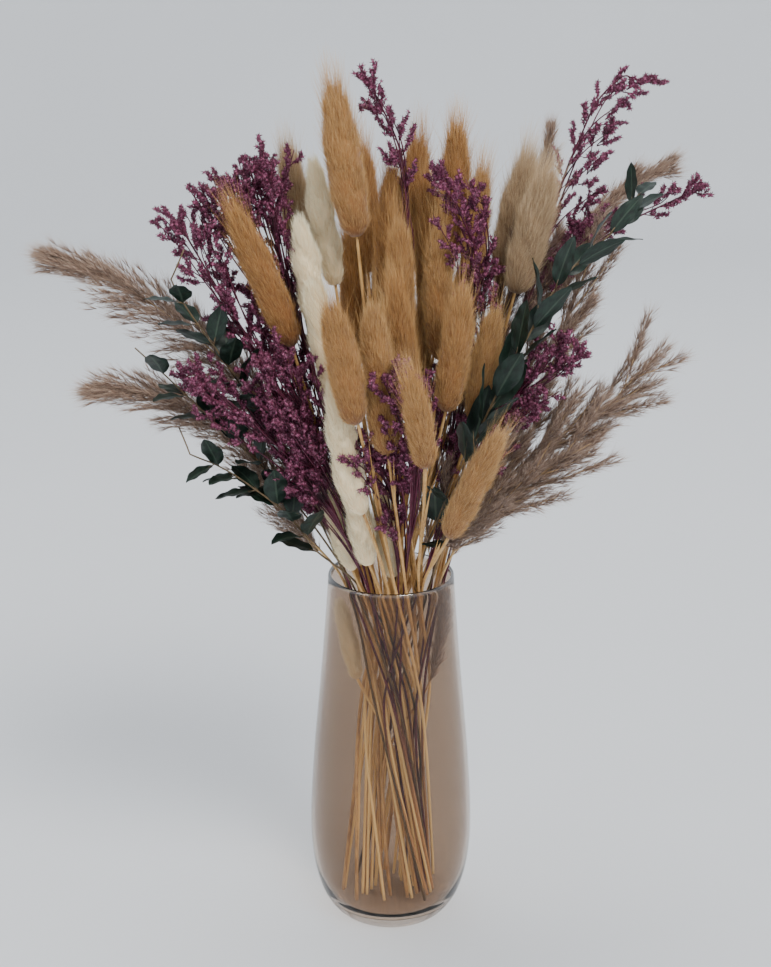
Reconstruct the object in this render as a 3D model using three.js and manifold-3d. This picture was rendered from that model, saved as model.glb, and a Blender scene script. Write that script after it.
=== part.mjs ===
// A bunch of dried flowers standing in a tall tapered glass vase.
// Millimetres, +Z up. The vase foot stands on z = 0 at the origin and the front looks along -Y.
import * as THREE from 'three';
import { mergeVertices } from 'three/addons/utils/BufferGeometryUtils.js';
import Module from 'manifold-3d';

const wasm = await Module();
wasm.setup();

// Vase sizes.
const vaseHeight = 236;
const footRadius = 37;
const bellyRadius = 53;
const bellyHeight = 66;
const neckRadius = 40;
const wall = 2.4;
const baseThickness = 7;

// Stalk sizes.
const strawRadius = 0.95;
const reedRadius = 1.2;
const twigRadius = 1.0;
const shootRadius = 0.65;

// Where the stalks cross inside the vase, and where they stand on its floor.
const waistHeight = Math.round(vaseHeight * 0.644);
const waistRadius = 23;
const standRadius = footRadius - 4;
const crossTurn = 75;

// The heads below are placed for a vase 236 tall, and rise with a taller one.
const rise = vaseHeight - 236;

// Clearances.
const gap = 0.36;
const wallGap = 0.5;
const clearWell = { x: 0, y: neckRadius - wall - 5.6, radius: 4.4 };

// Bunny tails: where each head starts and ends, and its radius.
const tails = {
  gold: [
    { base: [-20, -30, 454], tip: [-32, -36, 534], radius: 12 },
    { base: [-64, -35, 390], tip: [-95, -30, 462], radius: 10 },
    { base: [-20, -80, 358], tip: [-32, -86, 422], radius: 10.5 },
    { base: [-6, -76, 338], tip: [-14, -72, 418], radius: 10.5 },
    { base: [9, -52, 360], tip: [1, -46, 423], radius: 9 },
    { base: [17, -96, 335], tip: [9, -100, 381], radius: 7.5 },
    { base: [33, -72, 287], tip: [59, -86, 350], radius: 8.5 },
    { base: [13, 6, 426], tip: [17, 10, 500], radius: 10.5 },
    { base: [38, 18, 434], tip: [41, 28, 506], radius: 10 },
    { base: [47, 0, 418], tip: [52, 10, 480], radius: 8.5 },
    { base: [2, -12, 416], tip: [6, -14, 484], radius: 9 },
    { base: [5, -40, 388], tip: [4, -40, 458], radius: 9 },
    { base: [27, -36, 382], tip: [25, -34, 454], radius: 9.5 },
    { base: [24, -10, 396], tip: [22, -8, 476], radius: 9.5 },
    { base: [34, -60, 358], tip: [42, -60, 425], radius: 9.5 },
    { base: [50, -42, 348], tip: [60, -40, 408], radius: 8.5 },
    { base: [-12, 42, 420], tip: [-16, 56, 490], radius: 9.5 },
    { base: [28, 52, 396], tip: [34, 70, 464], radius: 9.5 },
    { base: [16, -30, 346], tip: [14, -26, 408], radius: 9 },
    { base: [42, -16, 366], tip: [46, -12, 430], radius: 9 },
    { base: [-22, 12, 368], tip: [-25, 18, 448], radius: 10 },
    { base: [-6, 20, 370], tip: [-6, 26, 447], radius: 9.5 },
  ],
  beige: [
    { base: [62, -6, 420], tip: [75, 0, 490], radius: 11.5 },
    { base: [74, -26, 420], tip: [90, -26, 482], radius: 10.5 },
    { base: [-55, 12, 430], tip: [-62, 20, 490], radius: 9.5 },
  ],
  cream: [
    { base: [-33, -12, 422], tip: [-45, -8, 491], radius: 9 },
    { base: [-42, -32, 396], tip: [-53, -28, 460], radius: 9 },
    { base: [-31, -54, 352], tip: [-45, -54, 426], radius: 8.5 },
    { base: [-21, -60, 300], tip: [-35, -64, 376], radius: 10 },
    { base: [-12, -46, 258], tip: [-26, -54, 330], radius: 9 },
    { base: [-23, -30, 250], tip: [-36, -42, 312], radius: 7 },
    { base: [-2, -28, 244], tip: [-9, -34, 300], radius: 7 },
    { base: [-18, -8, 166], tip: [-28, -12, 217], radius: 5.5 },
  ],
};

// Reed plumes: the line of each plume from its first shoots to its tip, its radius, shoot count and spread.
const reeds = [
  {
    path: [[-45, -24, 279], [-67, -22, 331], [-98, -18, 371], [-134, -14, 403], [-169, -10, 424], [-204, -10, 436]],
    radius: 16, shoots: 7, reach: 50, spread: 18,
  },
  { path: [[-48, -30, 268], [-77, -34, 318], [-110, -36, 350], [-142, -36, 361], [-170, -36, 362]],
    radius: 10.5, shoots: 6, reach: 38, spread: 20 },
  { path: [[38, -20, 256], [66, -26, 302], [100, -34, 335], [144, -42, 367]],
    radius: 4.5, shoots: 8, reach: 62, spread: 24 },
  { path: [[36, -6, 262], [62, -10, 319], [86, -12, 370], [114, -12, 411]],
    radius: 4.5, shoots: 8, reach: 62, spread: 24 },
  { path: [[79, 16, 395], [103, 24, 430], [133, 32, 463], [166, 38, 486]],
    radius: 5.5, shoots: 6, reach: 38, spread: 20 },
  { path: [[67, 22, 412], [79, 24, 449], [90, 26, 481], [95, 28, 504]],
    radius: 5, shoots: 5, reach: 30, spread: 14 },
  { path: [[31, 4, 282], [47, -2, 343], [66, -8, 400], [86, -14, 448]],
    radius: 8, shoots: 6, reach: 34, spread: 16 },
  { path: [[27, -24, 260], [52, -38, 284], [86, -48, 311], [113, -54, 335]],
    radius: 4.5, shoots: 7, reach: 40, spread: 20 },
  { path: [[20, -6, 156], [27, -10, 190], [29, -12, 222]],
    radius: 4, shoots: 0, reach: 0, spread: 0 },
];

// Statice sprigs: the line of each sprig's top, how many side shoots, how long and how wide they stand,
// and the side they all lean to when they don't stand all round.
const statice = [
  { path: [[8, -18, 470], [2, -20, 506], [-19, -25, 547]], shoots: 5, reach: 16, spread: 34 },
  { path: [[-54, -28, 400], [-68, -16, 450], [-76, -2, 500]], shoots: 8, reach: 34, spread: 34 },
  { path: [[-62, -24, 396], [-84, -16, 440], [-102, -8, 488]], shoots: 8, reach: 32, spread: 38 },
  { path: [[-72, -38, 380], [-100, -34, 424], [-126, -28, 470]], shoots: 8, reach: 34, spread: 38 },
  { path: [[-34, -48, 292], [-70, -56, 346], [-114, -56, 391]], shoots: 8, reach: 32, spread: 36 },
  { path: [[-30, -46, 300], [-48, -60, 350], [-66, -62, 398]], shoots: 8, reach: 36, spread: 36 },
  {
    path: [[44, -22, 404], [48, -26, 440], [38, -26, 468], [22, -24, 493]],
    shoots: 7, reach: 26, spread: 44, side: [1, -0.3, 0.2],
  },
  { path: [[10, -62, 300], [8, -76, 346], [-2, -88, 392]], shoots: 6, reach: 22, spread: 40 },
  { path: [[2, -44, 268], [0, -60, 304], [-16, -78, 346]], shoots: 6, reach: 26, spread: 44 },
  { path: [[80, -8, 410], [94, -4, 462], [110, 2, 506], [127, 6, 536], [154, 10, 546]],
    shoots: 8, reach: 52, spread: 42, side: [1, -0.2, -0.3] },
  { path: [[83, 0, 408], [109, 0, 440], [147, 0, 461], [184, 0, 478]],
    shoots: 8, reach: 30, spread: 40, side: [-0.2, -0.3, 1] },
  { path: [[60, -46, 346], [82, -54, 374], [102, -60, 402]], shoots: 5, reach: 22, spread: 42 },
];

// Leaf sprigs: the line of each sprig's top, leaf pairs, leaf length and leaf width.
const leafSprigs = [
  {
    path: [[-70, -44, 340], [-101, -50, 391], [-119, -54, 421], [-130, -58, 446]],
    pairs: 7, length: 24, width: 13,
  },
  {
    path: [[-52, -44, 290], [-83, -50, 326], [-116, -56, 363], [-146, -60, 394]],
    pairs: 6, length: 23, width: 13,
  },
  {
    path: [[-44, -44, 266], [-66, -54, 302], [-96, -62, 327], [-128, -68, 341]],
    pairs: 7, length: 22, width: 12,
  },
  { path: [[42, -62, 326], [56, -68, 362], [76, -66, 402], [96, -58, 434], [119, -48, 454], [143, -36, 472]],
    pairs: 10, length: 33, width: 14, lean: 27 },
  { path: [[22, -44, 270], [30, -58, 296], [36, -66, 318]], pairs: 2, length: 17, width: 14 },
];

const vector = ([x, y, z]) => new THREE.Vector3(x, y, z + rise);
const mix = THREE.MathUtils.lerp;
const rad = THREE.MathUtils.degToRad;
const up = new THREE.Vector3(0, 0, 1);

// Taper of the vase from belly to neck: share of the height against share of the belly's extra radius.
const taper = [[0.14, 0.91], [0.32, 0.75], [0.49, 0.53], [0.67, 0.32], [0.85, 0.13]];
const taperHeight = (t) => mix(bellyHeight, vaseHeight, t);
const taperRadius = (share) => mix(neckRadius, bellyRadius, share);

// Inside radius of the vase at a height.
const insideProfile = [
  [baseThickness, footRadius - 4],
  [baseThickness + 3, footRadius + 1],
  [baseThickness + 9, footRadius + 6],
  [bellyHeight * 0.45, bellyRadius - wall - 2.6],
  [bellyHeight * 0.73, bellyRadius - wall - 0.4],
  [bellyHeight, bellyRadius - wall],
  ...taper.map(([t, share]) => [taperHeight(t), taperRadius(share) - wall]),
  [vaseHeight - 6, neckRadius - wall],
  [vaseHeight - 1, neckRadius - wall],
];

function insideRadius(height) {
  const rows = insideProfile;
  if (height <= rows[0][0]) {
    return rows[0][1];
  }
  for (let i = 1; i < rows.length; i += 1) {
    if (height <= rows[i][0]) {
      const t = (height - rows[i - 1][0]) / (rows[i][0] - rows[i - 1][0]);
      return mix(rows[i - 1][1], rows[i][1], t);
    }
  }
  return rows[rows.length - 1][1];
}

// Chains. A stalk is a tree of chain points, each with a radius and the index of the point it grows from.

function addChain(stalk, parent, points, radii, section) {
  const first = parent < 0 ? 0 : 1;
  const indices = parent < 0 ? [] : [parent];
  for (let i = first; i < points.length; i += 1) {
    indices.push(stalk.nodes.length);
    stalk.nodes.push({
      home: points[i].clone(),
      at: points[i].clone(),
      radius: radii[i],
      parent: indices.length > 1 ? indices[indices.length - 2] : -1,
    });
  }
  stalk.branches.push({ indices, radii, section });
  return indices;
}

// Points from the vase floor, across the waist and through the neck, up to the first point of the top.
function lowerPoints(target, twist) {
  const distance = Math.hypot(target.x, target.y);
  const share = Math.min(1, distance / 90);
  const angle = Math.atan2(target.y, target.x);
  const atWaist = angle + rad(crossTurn + twist);
  const atFloor = angle + rad(2 * crossTurn + twist);
  const foot = new THREE.Vector3(
    Math.cos(atFloor) * mix(7, standRadius, share),
    Math.sin(atFloor) * mix(7, standRadius, share),
    baseThickness + 2.2,
  );
  const waist = new THREE.Vector3(
    Math.cos(atWaist) * mix(2, waistRadius, share),
    Math.sin(atWaist) * mix(2, waistRadius, share),
    waistHeight,
  );
  return [foot, waist];
}

function stemPoints(target, next, twist) {
  const [foot, waist] = lowerPoints(target, twist);
  const share = Math.max(0.2, (vaseHeight - waistHeight) / (target.z - waistHeight));
  const neck = waist.clone().lerp(target, Math.min(0.9, share));
  const reach = Math.hypot(neck.x, neck.y);
  const limit = neckRadius - wall - 4;
  if (reach > limit) {
    neck.x *= limit / reach;
    neck.y *= limit / reach;
  }
  const inVase = target.z < vaseHeight;
  const short = [foot, waist.clone().lerp(foot, 0.3), target, next];
  const guide = inVase ? short : [foot, waist, neck, target, next];
  const curve = new THREE.CatmullRomCurve3(guide, false, 'centripetal');
  const last = (guide.length - 2) / (guide.length - 1);
  const fine = [];
  for (let i = 0; i <= 240; i += 1) {
    fine.push(curve.getPoint((last * i) / 240));
  }
  const top = target.z;
  const levels = [foot.z, ...[0.26, 0.46, 0.644, 0.763].map((t) => Math.round(vaseHeight * t))];
  levels.push(vaseHeight - 26, vaseHeight + 4, vaseHeight + 32);
  const points = levels.filter((z) => z < top - 14).map((z) => atHeight(fine, z));
  const startZ = points[points.length - 1].z;
  const extra = Math.max(0, Math.round((top - startZ) / 44) - 1);
  for (let i = 1; i <= extra; i += 1) {
    points.push(atHeight(fine, mix(startZ, top, i / (extra + 1))));
  }
  return points;
}

function atHeight(points, z) {
  for (let i = 1; i < points.length; i += 1) {
    if (points[i].z >= z) {
      const a = points[i - 1];
      const b = points[i];
      return a.clone().lerp(b, THREE.MathUtils.clamp((z - a.z) / (b.z - a.z || 1), 0, 1));
    }
  }
  return points[points.length - 1].clone();
}

// Shape of a bunny tail head: share of its length against share of its radius.
const tailShape = [[0, 0.4], [0.07, 0.82], [0.28, 1], [0.6, 0.98], [0.86, 0.72], [1, 0.26]];

function bunnyTail(name, kind, { base, tip, radius }, index) {
  const stalk = { name, material: kind, sides: 6, nodes: [], branches: [] };
  const from = vector(base);
  const to = vector(tip);
  const bow = new THREE.Vector3((index % 3) - 1, ((index * 2) % 5) - 2, 0).multiplyScalar(1.2);
  const middle = from.clone().lerp(to, 0.5).add(bow);
  const curve = new THREE.QuadraticBezierCurve3(from, middle, to);
  const points = stemPoints(from, middle, index * 9 - 30);
  const radii = points.map(() => strawRadius);
  tailShape.forEach(([t, r]) => {
    points.push(curve.getPoint(t));
    radii.push(Math.max(1.2, r * radius));
  });
  addChain(stalk, -1, points, radii, 'round');
  return stalk;
}

// A direction square to the given one.
function acrossOf(along) {
  const other = Math.abs(along.z) < 0.9 ? up : new THREE.Vector3(1, 0, 0);
  return new THREE.Vector3().crossVectors(along, other).normalize();
}

// Points and radii of one side shoot leaving a stem: a thin stalk that swells into a spindle.
function shootChain(start, along, angle, lean, length, thickness) {
  const side = acrossOf(along).applyAxisAngle(along, angle);
  const out = along.clone().multiplyScalar(Math.cos(lean)).addScaledVector(side, Math.sin(lean));
  const later = along.clone().multiplyScalar(Math.cos(lean * 0.6)).addScaledVector(side, Math.sin(lean * 0.6));
  const a = start.clone().addScaledVector(out, length * 0.4);
  const b = a.clone().addScaledVector(later, length * 0.35);
  const c = b.clone().addScaledVector(later, length * 0.25);
  const radii = [shootRadius, thickness * 0.6, thickness, thickness * 0.4];
  return { points: [start.clone(), a, b, c], radii };
}

// The turn about a stem that faces the given side.
function sideAngle(along, side) {
  const ahead = acrossOf(along);
  const wanted = vector(side).addScaledVector(along, -vector(side).dot(along));
  return Math.atan2(new THREE.Vector3().crossVectors(ahead, wanted).dot(along), ahead.dot(wanted));
}

function growShoots(stalk, line, lineStart, plan, thickness) {
  const { shoots, reach, spread } = plan;
  for (let i = 0; i < shoots; i += 1) {
    const t = shoots > 1 ? i / (shoots - 1) : 0.5;
    const spot = Math.min(line.length - 2, lineStart + Math.round(t * (line.length - 2 - lineStart)));
    const start = stalk.nodes[line[spot]].home;
    const along = stalk.nodes[line[spot + 1]].home.clone().sub(start).normalize();
    const around = rad(i * 137.5 + plan.path[0][0]);
    const angle = plan.side ? sideAngle(along, plan.side) + rad(((i * 2) % 3 - 1) * 30) : around;
    const lean = rad(mix(spread * 1.15, spread * 0.8, t));
    const chain = shootChain(start, along, angle, lean, mix(reach, reach * 0.5, t), thickness);
    addChain(stalk, line[spot], chain.points, chain.radii, 'round');
  }
}

function topLine(path, count) {
  const curve = new THREE.CatmullRomCurve3(path.map(vector), false, 'centripetal');
  return curve.getSpacedPoints(count);
}

function reedPlume(name, plan, index) {
  const stalk = { name, material: 'reed', sides: 5, nodes: [], branches: [] };
  const count = Math.max(3, Math.min(8, plan.shoots));
  const top = topLine(plan.path, count);
  const points = stemPoints(top[0], top[1], index * 23 - 60);
  const lineStart = points.length;
  const radii = points.map(() => reedRadius);
  top.forEach((point, i) => {
    const t = i / count;
    points.push(point);
    radii.push(mix(reedRadius, plan.radius, Math.sin(Math.PI * Math.min(1, t * 1.08 + 0.02)) ** 0.7));
  });
  radii[radii.length - 1] = 0.9;
  const line = addChain(stalk, -1, points, radii, 'round');
  growShoots(stalk, line, lineStart, plan, 1.9);
  return stalk;
}

function staticeSprig(name, plan, index) {
  const stalk = { name, material: 'statice', sides: 5, nodes: [], branches: [] };
  const count = Math.max(4, plan.shoots);
  const top = topLine(plan.path, count);
  const points = stemPoints(top[0], top[1], 50 - index * 17);
  const lineStart = points.length;
  const radii = points.map(() => twigRadius);
  top.forEach((point, i) => {
    points.push(point);
    radii.push(i >= count - 1 ? 2 : twigRadius);
  });
  radii[radii.length - 1] = 1;
  const line = addChain(stalk, -1, points, radii, 'round');
  growShoots(stalk, line, lineStart, plan, 3.1);
  return stalk;
}

function leafSprig(name, plan, index) {
  const stalk = { name, material: 'leaf', sides: 4, nodes: [], branches: [] };
  const top = topLine(plan.path, plan.pairs + 1);
  const points = stemPoints(top[0], top[1], index * 31 - 40);
  const lineStart = points.length;
  const radii = points.map(() => twigRadius);
  top.forEach((point) => {
    points.push(point);
    radii.push(shootRadius + 0.2);
  });
  const line = addChain(stalk, -1, points, radii, 'round');
  for (let i = 0; i < plan.pairs; i += 1) {
    for (const sign of [-1, 1]) {
      const spot = lineStart + i + (sign > 0 ? 1 : 0);
      const start = stalk.nodes[line[spot]].home;
      const along = top[Math.min(i + 1, top.length - 1)].clone().sub(top[i]).normalize();
      const angle = rad(i * 74 + (sign > 0 ? 180 : 0) + 20 * index);
      const length = plan.length * mix(1, 0.7, i / plan.pairs);
      const width = plan.width * mix(1, 0.75, i / plan.pairs);
      addLeaf(stalk, line[spot], start, along, { angle, lean: rad(plan.lean ?? 51), length, width });
    }
  }
  return stalk;
}

function addLeaf(stalk, parent, start, along, { angle, lean, length, width }) {
  const side = new THREE.Vector3().crossVectors(along, up).normalize().applyAxisAngle(along, angle);
  const out = along.clone().multiplyScalar(Math.cos(lean)).addScaledVector(side, Math.sin(lean));
  const points = [0, 0.3, 0.68, 1].map((t) => start.clone().addScaledVector(out, 1 + length * t));
  points[0] = start.clone();
  const radii = [shootRadius, width * 0.44, width * 0.46, 0.8];
  addChain(stalk, parent, points, radii, 'flat');
}

// Settling. Every chain point may shift a little, so that no two stalks touch each other or the glass.

function closestShares(p, q, a, b) {
  const d1 = q.clone().sub(p);
  const d2 = b.clone().sub(a);
  const r = p.clone().sub(a);
  const e1 = d1.dot(d1);
  const e2 = d2.dot(d2);
  const f = d2.dot(r);
  const c = d1.dot(r);
  const m = d1.dot(d2);
  const det = e1 * e2 - m * m;
  let s = det > 1e-9 ? THREE.MathUtils.clamp((m * f - c * e2) / det, 0, 1) : 0.5;
  let t = (m * s + f) / e2;
  if (t < 0 || t > 1) {
    t = THREE.MathUtils.clamp(t, 0, 1);
    s = THREE.MathUtils.clamp((m * t - c) / e1, 0, 1);
  }
  return [s, t];
}

function shareOnSegment(point, a, b) {
  const d = b.clone().sub(a);
  return THREE.MathUtils.clamp(point.clone().sub(a).dot(d) / d.dot(d), 0, 1);
}

function pairTests(A, B) {
  const tests = [closestShares(A.a.at, A.b.at, B.a.at, B.b.at)];
  const fat = Math.abs(A.a.radius - A.b.radius) + Math.abs(B.a.radius - B.b.radius);
  if (fat > 0.5) {
    tests.push([0, shareOnSegment(A.a.at, B.a.at, B.b.at)], [1, shareOnSegment(A.b.at, B.a.at, B.b.at)]);
    tests.push([shareOnSegment(B.a.at, A.a.at, A.b.at), 0], [shareOnSegment(B.b.at, A.a.at, A.b.at), 1]);
  }
  return tests;
}

function pushApart(A, B, space) {
  let worst = 0;
  for (const [s, t] of pairTests(A, B)) {
    const p = A.a.at.clone().lerp(A.b.at, s);
    const q = B.a.at.clone().lerp(B.b.at, t);
    const need = mix(A.a.radius, A.b.radius, s) + mix(B.a.radius, B.b.radius, t) + space;
    const away = p.clone().sub(q);
    const distance = away.length();
    if (distance >= need) {
      continue;
    }
    worst = Math.max(worst, need - distance);
    const low = Math.min(p.z, q.z) < vaseHeight + 30;
    if (low) {
      away.z *= 0.2;
    }
    if (away.length() < 1e-4) {
      away.set(A.order % 2 ? 1 : -1, 0.3, 0);
    }
    away.normalize().multiplyScalar((need - distance) * 0.52);
    shiftShare(A, s, away, 1);
    shiftShare(B, t, away, -1);
  }
  return worst;
}

function shiftShare(segment, share, by, sign) {
  const total = share * share + (1 - share) * (1 - share);
  segment.a.at.addScaledVector(by, (sign * (1 - share)) / total);
  segment.b.at.addScaledVector(by, (sign * share) / total);
}

function listSegments(stalks) {
  const segments = [];
  stalks.forEach((stalk, order) => {
    stalk.nodes.forEach((node) => {
      if (node.parent >= 0) {
        segments.push({ a: stalk.nodes[node.parent], b: node, order });
      }
    });
  });
  return segments;
}

function nearPairs(segments, margin) {
  segments.forEach((s) => {
    s.middle = s.a.at.clone().lerp(s.b.at, 0.5);
    s.size = s.a.at.distanceTo(s.b.at) / 2 + Math.max(s.a.radius, s.b.radius) + margin;
  });
  const pairs = [];
  for (let i = 0; i < segments.length; i += 1) {
    for (let j = i + 1; j < segments.length; j += 1) {
      const A = segments[i];
      const B = segments[j];
      if (A.order !== B.order && A.middle.distanceToSquared(B.middle) < (A.size + B.size) ** 2) {
        pairs.push([A, B]);
      }
    }
  }
  return pairs;
}

function smoothShifts(stalk, amount) {
  const sums = stalk.nodes.map(() => ({ sum: new THREE.Vector3(), count: 0 }));
  stalk.nodes.forEach((node, i) => {
    if (node.parent < 0) {
      return;
    }
    const parent = stalk.nodes[node.parent];
    sums[i].sum.add(parent.at).sub(parent.home);
    sums[i].count += 1;
    sums[node.parent].sum.add(node.at).sub(node.home);
    sums[node.parent].count += 1;
  });
  stalk.nodes.forEach((node, i) => {
    const mean = sums[i].sum.divideScalar(Math.max(1, sums[i].count));
    const own = node.at.clone().sub(node.home);
    node.at.copy(node.home).add(own.lerp(mean, amount));
  });
}

// Keeps a chain point inside the glass, off the floor and out of the clear well beside the wall.
function keepInside(node) {
  const { at, radius, home } = node;
  if (home.z < vaseHeight + 12) {
    at.z = home.z;
    const limit = insideRadius(Math.min(at.z, vaseHeight)) - radius - wallGap;
    const reach = Math.hypot(at.x, at.y);
    if (reach > limit) {
      at.x *= limit / reach;
      at.y *= limit / reach;
    }
  }
}

function clearTheWell(segment) {
  const { a, b } = segment;
  if (Math.min(a.at.z, b.at.z) > vaseHeight + 20) {
    return;
  }
  const ax = a.at.x - clearWell.x;
  const ay = a.at.y - clearWell.y;
  const dx = b.at.x - a.at.x;
  const dy = b.at.y - a.at.y;
  const share = THREE.MathUtils.clamp(-(ax * dx + ay * dy) / (dx * dx + dy * dy || 1), 0, 1);
  const away = new THREE.Vector3(ax + dx * share, ay + dy * share, 0);
  const need = clearWell.radius + mix(a.radius, b.radius, share) + gap;
  const distance = away.length();
  if (distance < need) {
    away.normalize().multiplyScalar((need - distance) * 1.02);
    shiftShare(segment, share, away, 1);
  }
}

function settle(stalks) {
  const segments = listSegments(stalks);
  const rounds = 420;
  let pairs = [];
  for (let round = 0; round < rounds; round += 1) {
    if (round % 6 === 0) {
      pairs = nearPairs(segments, 3);
    }
    const smoothing = round < 240 ? 0.45 : round < 340 ? 0.12 : 0;
    if (smoothing > 0) {
      stalks.forEach((stalk) => smoothShifts(stalk, smoothing));
    }
    const space = round < 340 ? gap + 0.15 : gap + 0.06;
    let worst = 0;
    pairs.forEach(([A, B]) => {
      worst = Math.max(worst, pushApart(A, B, space));
    });
    segments.forEach(clearTheWell);
    stalks.forEach((stalk) => stalk.nodes.forEach(keepInside));
    if (round > 345 && worst < 0.05) {
      break;
    }
  }
}

// Solids.

function ringFrames(points) {
  const frames = [];
  let side = null;
  points.forEach((point, i) => {
    const before = points[Math.max(0, i - 1)];
    const after = points[Math.min(points.length - 1, i + 1)];
    const along = after.clone().sub(before).normalize();
    if (!side) {
      const flat = new THREE.Vector3(0, 0, 1).cross(along);
      side = flat.length() > 0.1 ? flat.normalize() : new THREE.Vector3(1, 0, 0);
    }
    side = side.clone().addScaledVector(along, -side.dot(along)).normalize();
    frames.push({ side, other: new THREE.Vector3().crossVectors(along, side) });
  });
  return frames;
}

// A lathed spindle whose rings are laid along a chain of points.
function sweptSpindle(points, radii, sides, section) {
  const last = points.length - 1;
  const profile = [new THREE.Vector2(0, 0)];
  radii.forEach((radius, i) => profile.push(new THREE.Vector2(radius, i)));
  profile.push(new THREE.Vector2(0, last));
  const geometry = new THREE.LatheGeometry(profile, sides);
  const frames = ringFrames(points);
  const position = geometry.attributes.position;
  for (let i = 0; i < position.count; i += 1) {
    const ring = Math.round(position.getY(i));
    const flatness = section === 'flat' && ring > 0 ? Math.min(1, 0.7 / radii[ring]) : 1;
    const { side, other } = frames[ring];
    const at = points[ring].clone();
    at.addScaledVector(side, position.getX(i)).addScaledVector(other, -position.getZ(i) * flatness);
    position.setXYZ(i, at.x, at.y, at.z);
  }
  return toManifold(geometry);
}

function toManifold(geometry) {
  geometry.deleteAttribute('normal');
  geometry.deleteAttribute('uv');
  const merged = mergeVertices(geometry, 1e-4);
  const triangles = [];
  for (let i = 0; i < merged.index.count; i += 3) {
    const [a, b, c] = [0, 1, 2].map((k) => merged.index.getX(i + k));
    if (a !== b && b !== c && a !== c) {
      triangles.push(a, b, c);
    }
  }
  return new wasm.Manifold(new wasm.Mesh({
    numProp: 3,
    vertProperties: Float32Array.from(merged.attributes.position.array),
    triVerts: Uint32Array.from(triangles),
  }));
}

function toGeometry(solid) {
  const mesh = solid.getMesh();
  const geometry = new THREE.BufferGeometry();
  const count = mesh.numVert;
  const positions = new Float32Array(count * 3);
  for (let i = 0; i < count; i += 1) {
    for (let k = 0; k < 3; k += 1) {
      positions[i * 3 + k] = mesh.vertProperties[i * mesh.numProp + k];
    }
  }
  geometry.setAttribute('position', new THREE.BufferAttribute(positions, 3));
  geometry.setIndex(new THREE.BufferAttribute(Uint32Array.from(mesh.triVerts), 1));
  geometry.computeVertexNormals();
  return geometry;
}

function stalkSolid(stalk) {
  let whole = null;
  stalk.branches.forEach(({ indices, radii, section }, i) => {
    const points = indices.map((index) => stalk.nodes[index].at);
    const piece = sweptSpindle(points, radii, i === 0 ? stalk.sides : 4, section);
    whole = whole ? whole.add(piece) : piece;
  });
  return toGeometry(whole);
}

function vaseGeometry() {
  const outside = [
    [0, 0],
    [footRadius - 3, 0],
    [footRadius + 0.6, 1.4],
    [footRadius + 5, 6],
    [bellyRadius - 6.4, 15],
    [bellyRadius - 2.4, bellyHeight * 0.45],
    [bellyRadius - 0.3, bellyHeight * 0.73],
    [bellyRadius, bellyHeight],
    ...taper.map(([t, share]) => [taperRadius(share), taperHeight(t)]),
    [neckRadius + 0.2, vaseHeight - 6],
    [neckRadius, vaseHeight - 1.6],
    [neckRadius - 0.8, vaseHeight - 0.3],
    [neckRadius - wall / 2, vaseHeight],
    [neckRadius - wall + 0.6, vaseHeight - 0.3],
  ];
  const inside = insideProfile.map(([z, r]) => [r, z]).reverse();
  const ends = [[footRadius - 16, baseThickness], [0, baseThickness]];
  const profile = [...outside, ...inside, ...ends].map(([r, z]) => new THREE.Vector2(r, z));
  const geometry = new THREE.LatheGeometry(profile, 40);
  geometry.rotateX(Math.PI / 2);
  return toGeometry(toManifold(geometry));
}

// Materials.
const finishes = {
  gold: { color: 0xb08a58, roughness: 0.85 },
  beige: { color: 0xa08768, roughness: 0.85 },
  cream: { color: 0xdcc6a2, roughness: 0.85 },
  reed: { color: 0x86705c, roughness: 0.9 },
  statice: { color: 0x8b3a60, roughness: 0.8 },
  leaf: { color: 0x1a2f26, roughness: 0.6 },
};

function material(kind) {
  const { color, roughness } = finishes[kind];
  return new THREE.MeshStandardMaterial({ color, roughness, metalness: 0 });
}

function allStalks() {
  const stalks = [];
  const label = (index) => String(index + 1).padStart(2, '0');
  for (const kind of ['gold', 'beige', 'cream']) {
    tails[kind].forEach((plan, i) => stalks.push(bunnyTail(`bunny_tail_${kind}_${label(i)}`, kind, plan, i)));
  }
  reeds.forEach((plan, i) => stalks.push(reedPlume(`reed_plume_${label(i)}`, plan, i)));
  statice.forEach((plan, i) => stalks.push(staticeSprig(`statice_sprig_${label(i)}`, plan, i)));
  leafSprigs.forEach((plan, i) => stalks.push(leafSprig(`leaf_sprig_${label(i)}`, plan, i)));
  return stalks;
}

const bouquet = new THREE.Group();

const glass = new THREE.MeshStandardMaterial({
  color: 0xb5a59c,
  roughness: 0.05,
  metalness: 0,
  transparent: true,
  opacity: 0.35,
});
const vase = new THREE.Mesh(vaseGeometry(), glass);
vase.name = 'glass_vase';
bouquet.add(vase);

const stalks = allStalks();
settle(stalks);
for (const stalk of stalks) {
  const mesh = new THREE.Mesh(stalkSolid(stalk), material(stalk.material));
  mesh.name = stalk.name;
  bouquet.add(mesh);
}

export default bouquet;
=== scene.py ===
import heapq
import math

import bpy
import numpy as np
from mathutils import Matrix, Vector
from mathutils.bvhtree import BVHTree


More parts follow.
